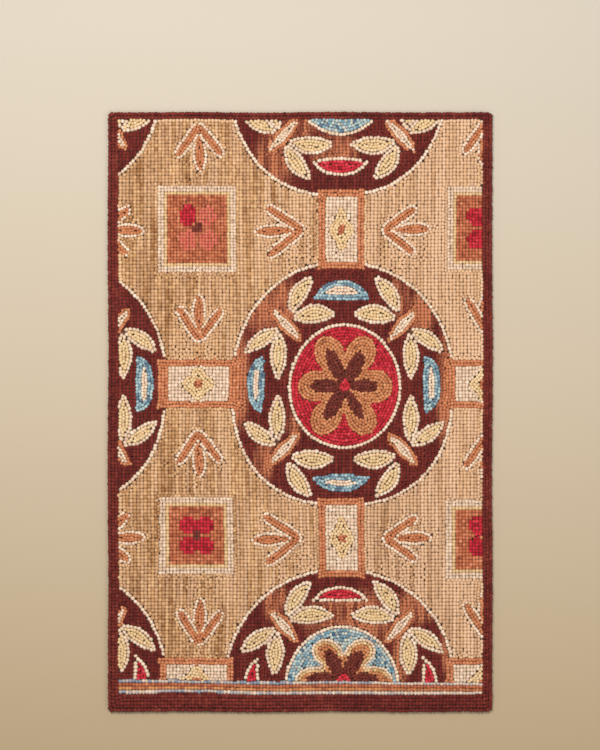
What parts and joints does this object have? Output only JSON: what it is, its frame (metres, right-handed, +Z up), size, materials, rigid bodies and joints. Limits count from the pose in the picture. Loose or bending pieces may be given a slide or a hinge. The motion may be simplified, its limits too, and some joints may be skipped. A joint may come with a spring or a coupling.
{
  "type": "hooked rug",
  "caption": "Small rectangular hooked rug of looped wool pile on a cotton foundation, with a roundel and tile pattern, lying flat on a floor.",
  "frame": {"origin": "centre of the rug's underside, on the floor", "axes": "+X across the rug to the right, +Y along the rug from the striped foot end towards the head end, +Z up out of the pile"},
  "size_m": [0.6108, 0.9538, 0.0088],
  "materials": {
    "wool_pile": "looped wool pile, matt, camel ground",
    "foundation_cloth": "plain-woven cotton cloth, matt, unbleached",
    "wool_maroon": "looped wool yarn, matt, maroon shading to rust",
    "wool_cream": "looped wool yarn, matt, cream",
    "wool_gold": "looped wool yarn, matt, gold",
    "wool_brick": "looped wool yarn, matt, brick",
    "wool_red": "looped wool yarn, matt, red",
    "wool_blue": "looped wool yarn, matt, soft blue",
    "wool_brown": "looped wool yarn, matt, dark brown"
  },
  "bodies": {
    "root": {"hooked_rug": "wool_pile"}
  },
  "joints": []
}
